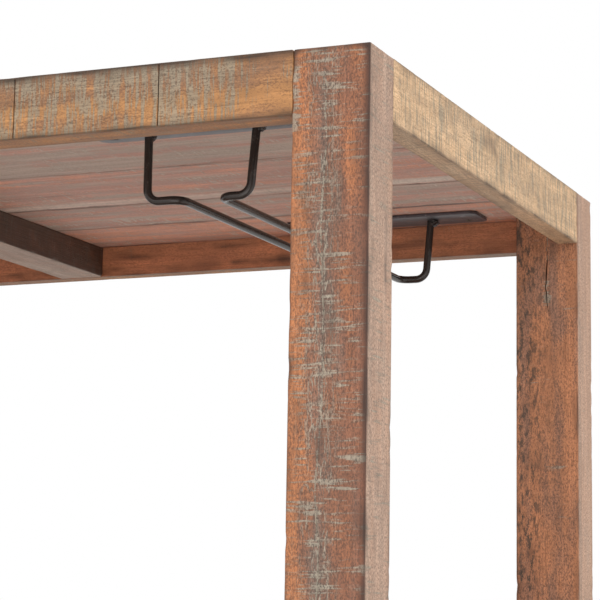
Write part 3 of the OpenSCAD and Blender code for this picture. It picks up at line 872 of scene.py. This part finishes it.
def add_weld(piece, centre, radius, seed):
    """A lumpy bead of weld, squashed against the strap above it."""
    bead = bmesh.new()
    bmesh.ops.create_icosphere(bead, subdivisions=4, radius=radius)
    lumps = Drift(np.random.default_rng(seed), (0.9 * radius,) * 3, 5)
    for vert in bead.verts:
        swell = 1 + 0.10 * float(lumps.at(np.array([vert.co]))[0])
        vert.co = Vector((vert.co.x, vert.co.y, vert.co.z * 0.8)) * swell + centre
    mesh = bpy.data.meshes.new("bead")
    bead.to_mesh(mesh)
    bead.free()
    whole = bmesh.new()
    whole.from_mesh(piece.data)
    whole.from_mesh(mesh)
    whole.to_mesh(piece.data)
    whole.free()
    bpy.data.meshes.remove(mesh)


def make_rack_wires():
    """Four wires that glasses hang from, bent from rod and welded under the straps."""
    rack = bpy.context.scene.bar_cart_rack
    rod = wire_pattern()
    for side, sign in (("left", -1), ("right", 1)):
        front, rear = (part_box(f"{side}_rack_strap_{end}") for end in ("front", "rear"))
        middle = (front[0].x + front[1].x) / 2
        top = front[0].z
        ends = [(box[0].y + box[1].y) / 2 for box in (front, rear)]
        for place, hand in (("outer", sign), ("inner", -sign)):
            node = f"{side}_rack_{place}_wire"
            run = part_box(node)[0].z + rack.wire_radius
            lean = rack.end_lean if place == "outer" else 0.0
            foot = middle + hand * (rack.leg_offset - (top - run) * math.tan(lean))
            leg = middle + hand * rack.leg_offset
            inner = middle + hand * rack.run_offset
            root = top + rack.wire_radius / 8
            points = [(leg, ends[0], root), (foot, ends[0], run), (inner, ends[0], run)]
            points += [(x, ends[1], z) for x, _, z in reversed(points)]
            sizes = {"Wire radius": rack.wire_radius, "Bend radius": rack.bend_radius}
            edges = [(i, i + 1) for i in range(5)]
            wire = rod.grow(node + "_rod", points, edges, **sizes)
            for number, y in enumerate(ends):
                bead = rack.wire_radius * 1.3
                aside = (0.9, 0) if leg > middle else (0, 0.9)
                x, y = leg + rack.wire_radius * aside[0], y + rack.wire_radius * aside[1]
                spot = Vector((x, y, top - bead * 0.55))
                add_weld(wire, spot, bead, 200 + number + 2 * (hand > 0))
            smooth(wire.data, 50)
            hand_over(wire, "wire_steel", CART, node)


def make_rack_straps():
    """Four flat straps that hold the racks to the boards."""
    for side in ("left", "right"):
        for end in ("front", "rear"):
            node = f"{side}_rack_strap_{end}"
            hand_over(softened(node, 0.0006, 3), "strap_steel", CART, node)


# From its point to the rim of its head: radius and height, in head radii
SCREW_SECTION = ((0.0, 3.4), (0.5, 3.1), (0.5, 0.55), (1.0, 0.05), (0.93, 0.0))
# Its cross recess, in head radii: reach and half width of an arm, and depth of wall and middle
CROSS_ARM, CROSS_HALF, CROSS_WALL, CROSS_MIDDLE = 0.62, 0.17, 0.35, 0.40


def screw_form(radius):
    """A countersunk screw, its cross recess facing down and its point up."""
    steps = 48
    arm, half = CROSS_ARM * radius, CROSS_HALF * radius
    rings = [[(size * radius, height * radius)] * steps for size, height in SCREW_SECTION]
    cross = []
    for i in range(steps):
        c = abs(math.cos(math.tau * i / steps)) + 1e-6
        s = abs(math.sin(math.tau * i / steps)) + 1e-6
        cross.append(max(min(arm / c, half / s), min(half / c, arm / s)))
    rings.append([(reach, 0.0) for reach in cross])
    rings.append([(reach * 0.55, CROSS_WALL * radius) for reach in cross])
    rings.append([(0.0, CROSS_MIDDLE * radius)] * steps)
    points = []
    for ring in rings:
        for i, (reach, z) in enumerate(ring):
            angle = math.tau * i / steps
            points.append((reach * math.cos(angle), reach * math.sin(angle), z))
    faces = []
    for a in range(0, (len(rings) - 1) * steps, steps):
        for j in range(steps):
            k = (j + 1) % steps
            faces.append((a + k, a + j, a + steps + j, a + steps + k))
    form = to_object("screw_form", points, faces)
    work = bmesh.new()
    work.from_mesh(form.data)
    bmesh.ops.remove_doubles(work, verts=work.verts, dist=1e-7)
    bmesh.ops.recalc_face_normals(work, faces=work.faces)
    work.to_mesh(form.data)
    work.free()
    return form


def make_rack_screws():
    """Eight countersunk screws, turned at random, in the straps."""
    rack = bpy.context.scene.bar_cart_rack
    kinds = {"Screw": "NodeSocketObject", "Seed": "NodeSocketInt"}
    row = Pattern("turned_screws", kinds)
    screw = row.node("GeometryNodeObjectInfo", sockets={0: row.inputs["Screw"]}, output=4)
    turn = {"Max": (0.0, 0.0, math.tau), "Seed": row.inputs["Seed"]}
    spin = row.node("FunctionNodeRandomValue", {"data_type": "FLOAT_VECTOR"}, turn)
    sockets = {"Points": row.inputs["Geometry"], "Instance": screw, "Rotation": spin}
    row.end(row.node("GeometryNodeInstanceOnPoints", sockets=sockets), "screw_steel")
    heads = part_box("rack_screws")[0].z
    points = []
    for side in ("left", "right"):
        for end in ("front", "rear"):
            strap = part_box(f"{side}_rack_strap_{end}")
            y = (strap[0].y + strap[1].y) / 2 + rack.screw_back
            for x in (strap[0].x + rack.screw_end, strap[1].x - rack.screw_end):
                points.append((x, y, heads))
    form = screw_form(rack.screw_head)
    screws = row.grow("rack_screws_driven", points, [], Screw=form, Seed=7)
    bpy.data.objects.remove(form)
    hand_over(screws, "screw_steel", CART, "rack_screws")


# ---- Casters ----------------------------------------------------------------


def make_caster_mounts():
    """Threaded inserts in the posts' feet, and the stems that screw into them."""
    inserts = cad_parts["caster_inserts"]
    inserts.material_slots[0].material = finish("insert_brass")
    for corner in CORNERS:
        node = f"stem_{corner}"
        hand_over(softened(node, 0.0005), "stem_steel", CART, node)


def make_forks():
    """Pressed swivel forks with their axle bolts."""
    for corner in CORNERS:
        body = f"{corner}_swivel"
        for part, slot in (("fork", "fork_steel"), ("axle", "bolt_steel")):
            node = f"{part}_{corner}"
            hand_over(softened(node, 0.0006, 3), slot, body, node)


# A tyre's inner radius as a share of its outer one
RIM_SHARE = 28 / 37.5
# A tyre's shoulder radius, and a tread groove's half width and depth
SHOULDER, GROOVE, GROOVE_DEPTH = 0.004, 0.0009, 0.0014


def make_wheels():
    """Cast wheels with pierced webs, and grooved rubber tyres."""
    for corner in CORNERS:
        body = f"{corner}_wheel"
        wheel = f"wheel_{corner}"
        hand_over(softened(wheel, 0.0006), "wheel_iron", body, wheel)
        tyre = f"tyre_{corner}"
        low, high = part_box(tyre)
        centre = (low + high) / 2
        outer = (high.z - low.z) / 2
        rim = outer * RIM_SHARE
        half = (high.y - low.y) / 2
        moulded = lathe(tyre + "_moulded", tyre_profile(rim, outer, half), centre)
        hand_over(moulded, "tyre_rubber", body, tyre)


def tyre_profile(rim, outer, half):
    """Section of a tyre: round shoulders, two tread grooves and a ring on each side."""
    right = [(rim, half), (rim + 0.0016, half), (rim + 0.0021, half - 0.0006)]
    right += [(rim + 0.0029, half - 0.0006), (rim + 0.0034, half)]
    for k in range(7):
        angle = math.radians(90 * (1 - k / 6))
        across = half - SHOULDER + SHOULDER * math.sin(angle)
        right.append((outer - SHOULDER + SHOULDER * math.cos(angle), across))
    middle, deep = half * 0.36, outer - GROOVE_DEPTH
    right += [(outer, middle + GROOVE), (deep, middle + GROOVE * 0.6)]
    right += [(deep, middle - GROOVE * 0.6), (outer, middle - GROOVE)]
    return right + [(radius, -side) for radius, side in reversed(right)]


# The ribs of a pedal: how many, from the toe to the first, from one to the next, and radius
RIBS, RIB_FIRST, RIB_PITCH, RIB_RADIUS = 4, 0.004, 0.0045, 0.0009


def make_brakes():
    """Foot brakes of the front casters, with ribs on their treads."""
    sizes = {"Rib length": "NodeSocketFloat", "Rib width": "NodeSocketFloat"}
    ribs = Pattern("tread_ribs", sizes)
    ring = {"Resolution": 12, "Radius": ribs.inputs["Rib width"]}
    section = ribs.node("GeometryNodeCurvePrimitiveCircle", {"mode": "RADIUS"}, ring)
    ends = []
    for share in (-0.5, 0.5):
        sockets = {0: ribs.inputs["Rib length"], 1: share}
        reach = ribs.node("ShaderNodeMath", {"operation": "MULTIPLY"}, sockets)
        ends.append(ribs.node("ShaderNodeCombineXYZ", sockets={1: reach}))
    sockets = {"Start": ends[0], "End": ends[1]}
    line = ribs.node("GeometryNodeCurvePrimitiveLine", sockets=sockets)
    sweep = {"Curve": line, "Profile Curve": section, "Fill Caps": True}
    bar = ribs.node("GeometryNodeCurveToMesh", sockets=sweep)
    sockets = {"Points": ribs.inputs["Geometry"], "Instance": bar}
    ribs.end(ribs.node("GeometryNodeInstanceOnPoints", sockets=sockets), "pedal_steel")
    for corner in ("front_left", "front_right"):
        node = f"brake_pedal_{corner}"
        body = f"{corner}_pedal"
        hand_over(softened(node, 0.0006, 3), "pedal_steel", body, node)
        low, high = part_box(node)
        inward = 1 if corner == "front_left" else -1
        toe = high.x if inward > 0 else low.x
        middle = (low.y + high.y) / 2
        backs = [RIB_FIRST + RIB_PITCH * k for k in range(RIBS)]
        points = [(toe - inward * back, middle, high.z) for back in backs]
        values = {"Rib length": (high.y - low.y) * 0.8, "Rib width": RIB_RADIUS}
        hand_over(ribs.grow(node + "_ribs", points, [], **values), "pedal_steel", body)


# ---- Stage ------------------------------------------------------------------


# Place and size of each square light; its power is a property of the same first word
LIGHTS = {
    "key": ((2.6, -1.2, 1.9), 1.6),
    "front": ((-0.9, -3.2, 1.3), 1.8),
    "low": ((0.5, -1.1, 0.06), 1.2),
}
LIGHTS_AIM = Vector((0.1, 0, 0.75))
FLOOR_REACH = 20


def make_stage():
    """Pale floor, soft lights and the camera."""
    stage = bpy.context.scene.bar_cart_stage
    signs = ((-1, -1), (1, -1), (1, 1), (-1, 1))
    corners = [(x * FLOOR_REACH, y * FLOOR_REACH, 0) for x, y in signs]
    floor = to_object("studio_floor", corners, [(0, 1, 2, 3)])
    floor.data.materials.append(stage_finish("floor_paint", tuple(stage.floor_colour)))
    for name, (place, size) in LIGHTS.items():
        lamp = bpy.data.lights.new(name + "_light", "AREA")
        lamp.size = size
        lamp.energy = getattr(stage, name + "_power")
        made = add_object(lamp.name, lamp)
        made.location = place
        aim = LIGHTS_AIM - made.location
        made.rotation_euler = aim.to_track_quat("-Z", "Y").to_euler()
    world = bpy.data.worlds.new("studio")
    world.use_nodes = True
    nodes, links = world.node_tree.nodes, world.node_tree.links
    seen = nodes.new("ShaderNodeLightPath").outputs["Is Camera Ray"]
    strength = nodes.new("ShaderNodeMapRange")
    strength.inputs["To Min"].default_value = stage.ambience
    strength.inputs["To Max"].default_value = 1.0
    links.new(seen, strength.inputs["Value"])
    background = nodes["Background"]
    background.inputs["Color"].default_value = (1, 1, 1, 1)
    links.new(strength.outputs[0], background.inputs["Strength"])
    bpy.context.scene.world = world
    bpy.context.scene.view_settings.view_transform = "Standard"
    lens = bpy.data.cameras.new("camera")
    lens.lens = stage.lens
    lens.sensor_width = 36.0
    camera = add_object("camera", lens)
    turn = Matrix.Rotation(-stage.heading, 4, "Z")
    turn @= Matrix.Rotation(math.pi / 2 + stage.tilt, 4, "X")
    turn @= Matrix.Rotation(stage.bank, 4, "Z")
    camera.matrix_world = Matrix.Translation(stage.eye) @ turn
    bpy.context.scene.camera = camera


# ---- Sizes and colours ------------------------------------------------------

# What each shade of a timber's palette stands for
SHADES = {
    "orange": "Clean warm heartwood",
    "brown": "Ordinary brown wood",
    "grey": "Weathered wood",
    "red": "Foxy reddened wood",
    # The whitened shade below stands both for wood faded by age and for a painted sheen on faces
    # turned to the light at the right
    "pale": "Faded wood, bleached by light",
    "dark": "Grime, pores and open cracks",
    "mould": "Dark greenish blotches",
    "paint": "Remains of old paint and filler",
}
# How gritty each timber looks
GRIT = {"post_wood": 1.0, "rail_wood": 0.6, "batten_wood": 0.6, "board_wood": 0.3}
# Each row follows the shades above; the fifth, the whitened one, is also the painted sheen of
# faces that catch the light at the right
WOODS = {
    "post_wood": (
        (188, 120, 76), (144, 98, 74), (124, 98, 84), (132, 80, 56),
        (193, 163, 141), (52, 38, 31), (58, 54, 46), (168, 159, 142),
    ),
    "rail_wood": (
        (189, 134, 82), (152, 108, 75), (145, 120, 98), (194, 122, 86),
        (222, 190, 151), (58, 40, 29), (66, 40, 28), (153, 142, 122),
    ),
    "batten_wood": (
        (176, 132, 104), (128, 94, 74), (156, 136, 122), (130, 80, 54),
        (206, 180, 160), (60, 40, 26), (50, 34, 24), (168, 156, 142),
    ),
    "board_wood": (
        (212, 147, 116), (190, 144, 127), (180, 159, 144), (198, 128, 104),
        (220, 204, 188), (82, 60, 48), (84, 68, 58), (196, 184, 170),
    ),
}


def colour(label, purpose, red, green, blue):
    """A colour that a user may change, given as it looks, from 0 to 255."""
    return FloatVectorProperty(
        name=label, description=purpose, default=tint(red, green, blue),
        subtype="COLOR", min=0.0, max=1.0,
    )


def length(label, purpose, default, least=0.0):
    """A length that a user may change, in metres."""
    return FloatProperty(
        name=label, description=purpose, default=default, min=least, unit="LENGTH"
    )


def angle(label, purpose, degrees):
    """An angle that a user may change, given in degrees."""
    return FloatProperty(
        name=label, description=purpose, default=math.radians(degrees),
        subtype="ANGLE", unit="ROTATION",
    )


def power(label, purpose, watts):
    """The power of a light, which a user may change."""
    return FloatProperty(name=label, description=purpose, default=watts, unit="POWER")


def palette(slot):
    """The shades of one timber, as colours that a user may change."""
    label = slot.replace("_", " ").capitalize()
    shades = zip(SHADES.items(), WOODS[slot])
    return {key: colour(f"{label}, {key}", why, *shade) for (key, why), shade in shades}


class BarCartPostWood(bpy.types.PropertyGroup):
    """Shades of the posts."""

    __annotations__ = palette("post_wood")


class BarCartRailWood(bpy.types.PropertyGroup):
    """Shades of the rails."""

    __annotations__ = palette("rail_wood")


class BarCartBattenWood(bpy.types.PropertyGroup):
    """Shades of the battens."""

    __annotations__ = palette("batten_wood")


class BarCartBoardWood(bpy.types.PropertyGroup):
    """Shades of the boards."""

    __annotations__ = palette("board_wood")


class BarCartColours(bpy.types.PropertyGroup):
    """Colours of the timbers, metals and tyres."""

    post_wood: PointerProperty(type=BarCartPostWood)
    rail_wood: PointerProperty(type=BarCartRailWood)
    batten_wood: PointerProperty(type=BarCartBattenWood)
    board_wood: PointerProperty(type=BarCartBoardWood)
    strap_steel: colour("Straps", "Film on the rack straps", 84, 80, 83)
    wire_steel: colour("Wires", "Film on the rack wires", 57, 51, 48)
    screw_steel: colour("Screws", "Film on the screws", 60, 56, 54)
    insert_brass: colour("Inserts", "Tarnish on the brass inserts", 186, 148, 82)
    stem_steel: colour("Stems", "Zinc on the caster stems", 150, 150, 152)
    fork_steel: colour("Forks", "Film on the caster forks", 66, 63, 61)
    bolt_steel: colour("Axle bolts", "Zinc on the axle bolts", 164, 164, 166)
    wheel_iron: colour("Wheels", "Film on the cast wheels", 74, 70, 68)
    pedal_steel: colour("Pedals", "Paint on the brake pedals", 150, 38, 30)
    tyre_rubber: colour("Tyres", "Rubber of the tyres", 36, 35, 35)
    tyre_dust: colour("Tyre dust", "Dust on the tyres", 104, 98, 91)


class BarCartTimber(bpy.types.PropertyGroup):
    """Sizes of the wear on the timber."""

    arris: length(
        "Worn arris", "Radius of a timber's edges where they are least worn", 0.0012, 0.0003
    )
    chips: length(
        "Edge chips", "How much further the edges are worn where they are chipped", 0.0012
    )
    slice: length(
        "Outline spacing", "Distance between the outlines that a timber is lofted through",
        0.004, 0.002,
    )


class BarCartRack(bpy.types.PropertyGroup):
    """Sizes of the stemware racks."""

    wire_radius: length("Wire radius", "Half the thickness of the rack wire", 0.0033)
    bend_radius: length("Bend radius", "Radius of the wire's bends", 0.010)
    leg_offset: length("Leg offset", "From a rack's middle to a leg, at the strap", 0.045)
    run_offset: length("Run offset", "From a rack's middle to a wire's long run", 0.016)
    end_lean: angle("End lean", "Lean of the legs nearest the cart's end", 5)
    screw_head: length("Screw head", "Radius of a screw's head", 0.004)
    screw_end: length("Screw to end", "From a strap's end to its screw", 0.015)
    screw_back: length(
        "Screw set back", "From a strap's middle to its screws, towards the rear", 0.009
    )


class BarCartStage(bpy.types.PropertyGroup):
    """Floor, camera and lights."""

    floor_colour: colour("Floor", "Colour of the studio floor", 246, 245, 243)
    eye: FloatVectorProperty(
        name="Camera place",
        description="Where the camera stands",
        default=(1.0166, -1.5711, 0.5148),
        subtype="TRANSLATION",
        unit="LENGTH",
    )
    heading: angle("Heading", "Turn of the camera from straight ahead, towards the right", -23.057)
    tilt: angle("Tilt", "How far the camera looks up", 9.100)
    bank: angle("Bank", "How far the camera leans", 0.912)
    lens: FloatProperty(
        name="Lens", description="Focal length in millimetres", default=127.12, min=20.0
    )
    key_power: power("Key light", "Power of the light at the right", 24.0)
    front_power: power("Front light", "Power of the light in front", 7.0)
    low_power: power("Low light", "Power of the light near the floor", 5.0)
    ambience: FloatProperty(
        name="Ambience", description="Brightness of the white room", default=0.88, min=0.0
    )


# ---- Operators --------------------------------------------------------------


class BAR_CART_OT_posts(bpy.types.Operator):
    """Makes the four posts."""

    bl_idname = "bar_cart.posts"
    bl_label = "Make Posts"

    def execute(self, context):
        make_posts()
        return {"FINISHED"}


class BAR_CART_OT_long_rails(bpy.types.Operator):
    """Makes the front and rear rails of the three tiers."""

    bl_idname = "bar_cart.long_rails"
    bl_label = "Make Long Rails"

    def execute(self, context):
        make_long_rails()
        return {"FINISHED"}


class BAR_CART_OT_end_rails(bpy.types.Operator):
    """Makes the side rails of the three tiers."""

    bl_idname = "bar_cart.end_rails"
    bl_label = "Make End Rails"

    def execute(self, context):
        make_end_rails()
        return {"FINISHED"}


class BAR_CART_OT_battens(bpy.types.Operator):
    """Makes the cross battens under the tiers."""

    bl_idname = "bar_cart.battens"
    bl_label = "Make Battens"

    def execute(self, context):
        make_battens()
        return {"FINISHED"}


class BAR_CART_OT_top_boards(bpy.types.Operator):
    """Makes the five boards of the worktop."""

    bl_idname = "bar_cart.top_boards"
    bl_label = "Make Top Boards"

    def execute(self, context):
        make_top_boards()
        return {"FINISHED"}


class BAR_CART_OT_shelf_boards(bpy.types.Operator):
    """Makes the boards of the two lower tiers."""

    bl_idname = "bar_cart.shelf_boards"
    bl_label = "Make Shelf Boards"

    def execute(self, context):
        make_shelf_boards()
        return {"FINISHED"}


class BAR_CART_OT_rack_straps(bpy.types.Operator):
    """Makes the straps that hold the racks to the boards."""

    bl_idname = "bar_cart.rack_straps"
    bl_label = "Make Rack Straps"

    def execute(self, context):
        make_rack_straps()
        return {"FINISHED"}


class BAR_CART_OT_rack_wires(bpy.types.Operator):
    """Makes the wires that glasses hang from."""

    bl_idname = "bar_cart.rack_wires"
    bl_label = "Make Rack Wires"

    def execute(self, context):
        make_rack_wires()
        return {"FINISHED"}


class BAR_CART_OT_rack_screws(bpy.types.Operator):
    """Makes the screws in the straps."""

    bl_idname = "bar_cart.rack_screws"
    bl_label = "Make Rack Screws"

    def execute(self, context):
        make_rack_screws()
        return {"FINISHED"}


class BAR_CART_OT_caster_mounts(bpy.types.Operator):
    """Makes the casters' stems and finishes their inserts."""

    bl_idname = "bar_cart.caster_mounts"
    bl_label = "Make Caster Mounts"

    def execute(self, context):
        make_caster_mounts()
        return {"FINISHED"}


class BAR_CART_OT_forks(bpy.types.Operator):
    """Makes the casters' forks and axle bolts."""

    bl_idname = "bar_cart.forks"
    bl_label = "Make Forks"

    def execute(self, context):
        make_forks()
        return {"FINISHED"}


class BAR_CART_OT_wheels(bpy.types.Operator):
    """Makes the casters' wheels and tyres."""

    bl_idname = "bar_cart.wheels"
    bl_label = "Make Wheels"

    def execute(self, context):
        make_wheels()
        return {"FINISHED"}


class BAR_CART_OT_brakes(bpy.types.Operator):
    """Makes the foot brakes of the front casters."""

    bl_idname = "bar_cart.brakes"
    bl_label = "Make Brakes"

    def execute(self, context):
        make_brakes()
        return {"FINISHED"}


class BAR_CART_OT_stage(bpy.types.Operator):
    """Makes the floor, the lights and the camera."""

    bl_idname = "bar_cart.stage"
    bl_label = "Make Stage"

    def execute(self, context):
        make_stage()
        return {"FINISHED"}


OPERATORS = (
    BAR_CART_OT_posts,
    BAR_CART_OT_long_rails,
    BAR_CART_OT_end_rails,
    BAR_CART_OT_battens,
    BAR_CART_OT_top_boards,
    BAR_CART_OT_shelf_boards,
    BAR_CART_OT_rack_straps,
    BAR_CART_OT_rack_wires,
    BAR_CART_OT_rack_screws,
    BAR_CART_OT_caster_mounts,
    BAR_CART_OT_forks,
    BAR_CART_OT_wheels,
    BAR_CART_OT_brakes,
    BAR_CART_OT_stage,
)


class BAR_CART_PT_panel(bpy.types.Panel):
    """Lists the steps that build the cart."""

    bl_label = "Bar Cart"
    bl_idname = "BAR_CART_PT_panel"
    bl_space_type = "VIEW_3D"
    bl_region_type = "UI"
    bl_category = "Bar Cart"

    def draw(self, context):
        scene = context.scene
        colours = scene.bar_cart_colours
        woods = [getattr(colours, slot) for slot in WOODS]
        groups = [scene.bar_cart_timber, scene.bar_cart_rack, scene.bar_cart_stage]
        for group in groups + woods + [colours]:
            for name in group.__annotations__:
                if name not in WOODS:
                    self.layout.prop(group, name)
        for step in OPERATORS:
            self.layout.operator(step.bl_idname)


PALETTES = (BarCartPostWood, BarCartRailWood, BarCartBattenWood, BarCartBoardWood)
GROUPS = {
    "bar_cart_colours": BarCartColours,
    "bar_cart_timber": BarCartTimber,
    "bar_cart_rack": BarCartRack,
    "bar_cart_stage": BarCartStage,
}
CLASSES = (*PALETTES, *GROUPS.values(), *OPERATORS, BAR_CART_PT_panel)


def register():
    for cls in CLASSES:
        bpy.utils.register_class(cls)
    for name, group in GROUPS.items():
        setattr(bpy.types.Scene, name, PointerProperty(type=group))


def unregister():
    for name in GROUPS:
        delattr(bpy.types.Scene, name)
    for cls in reversed(CLASSES):
        bpy.utils.unregister_class(cls)


def main():
    register()
    for step in OPERATORS:
        family, name = step.bl_idname.split(".")
        getattr(getattr(bpy.ops, family), name)()


if __name__ == "__main__":
    main()
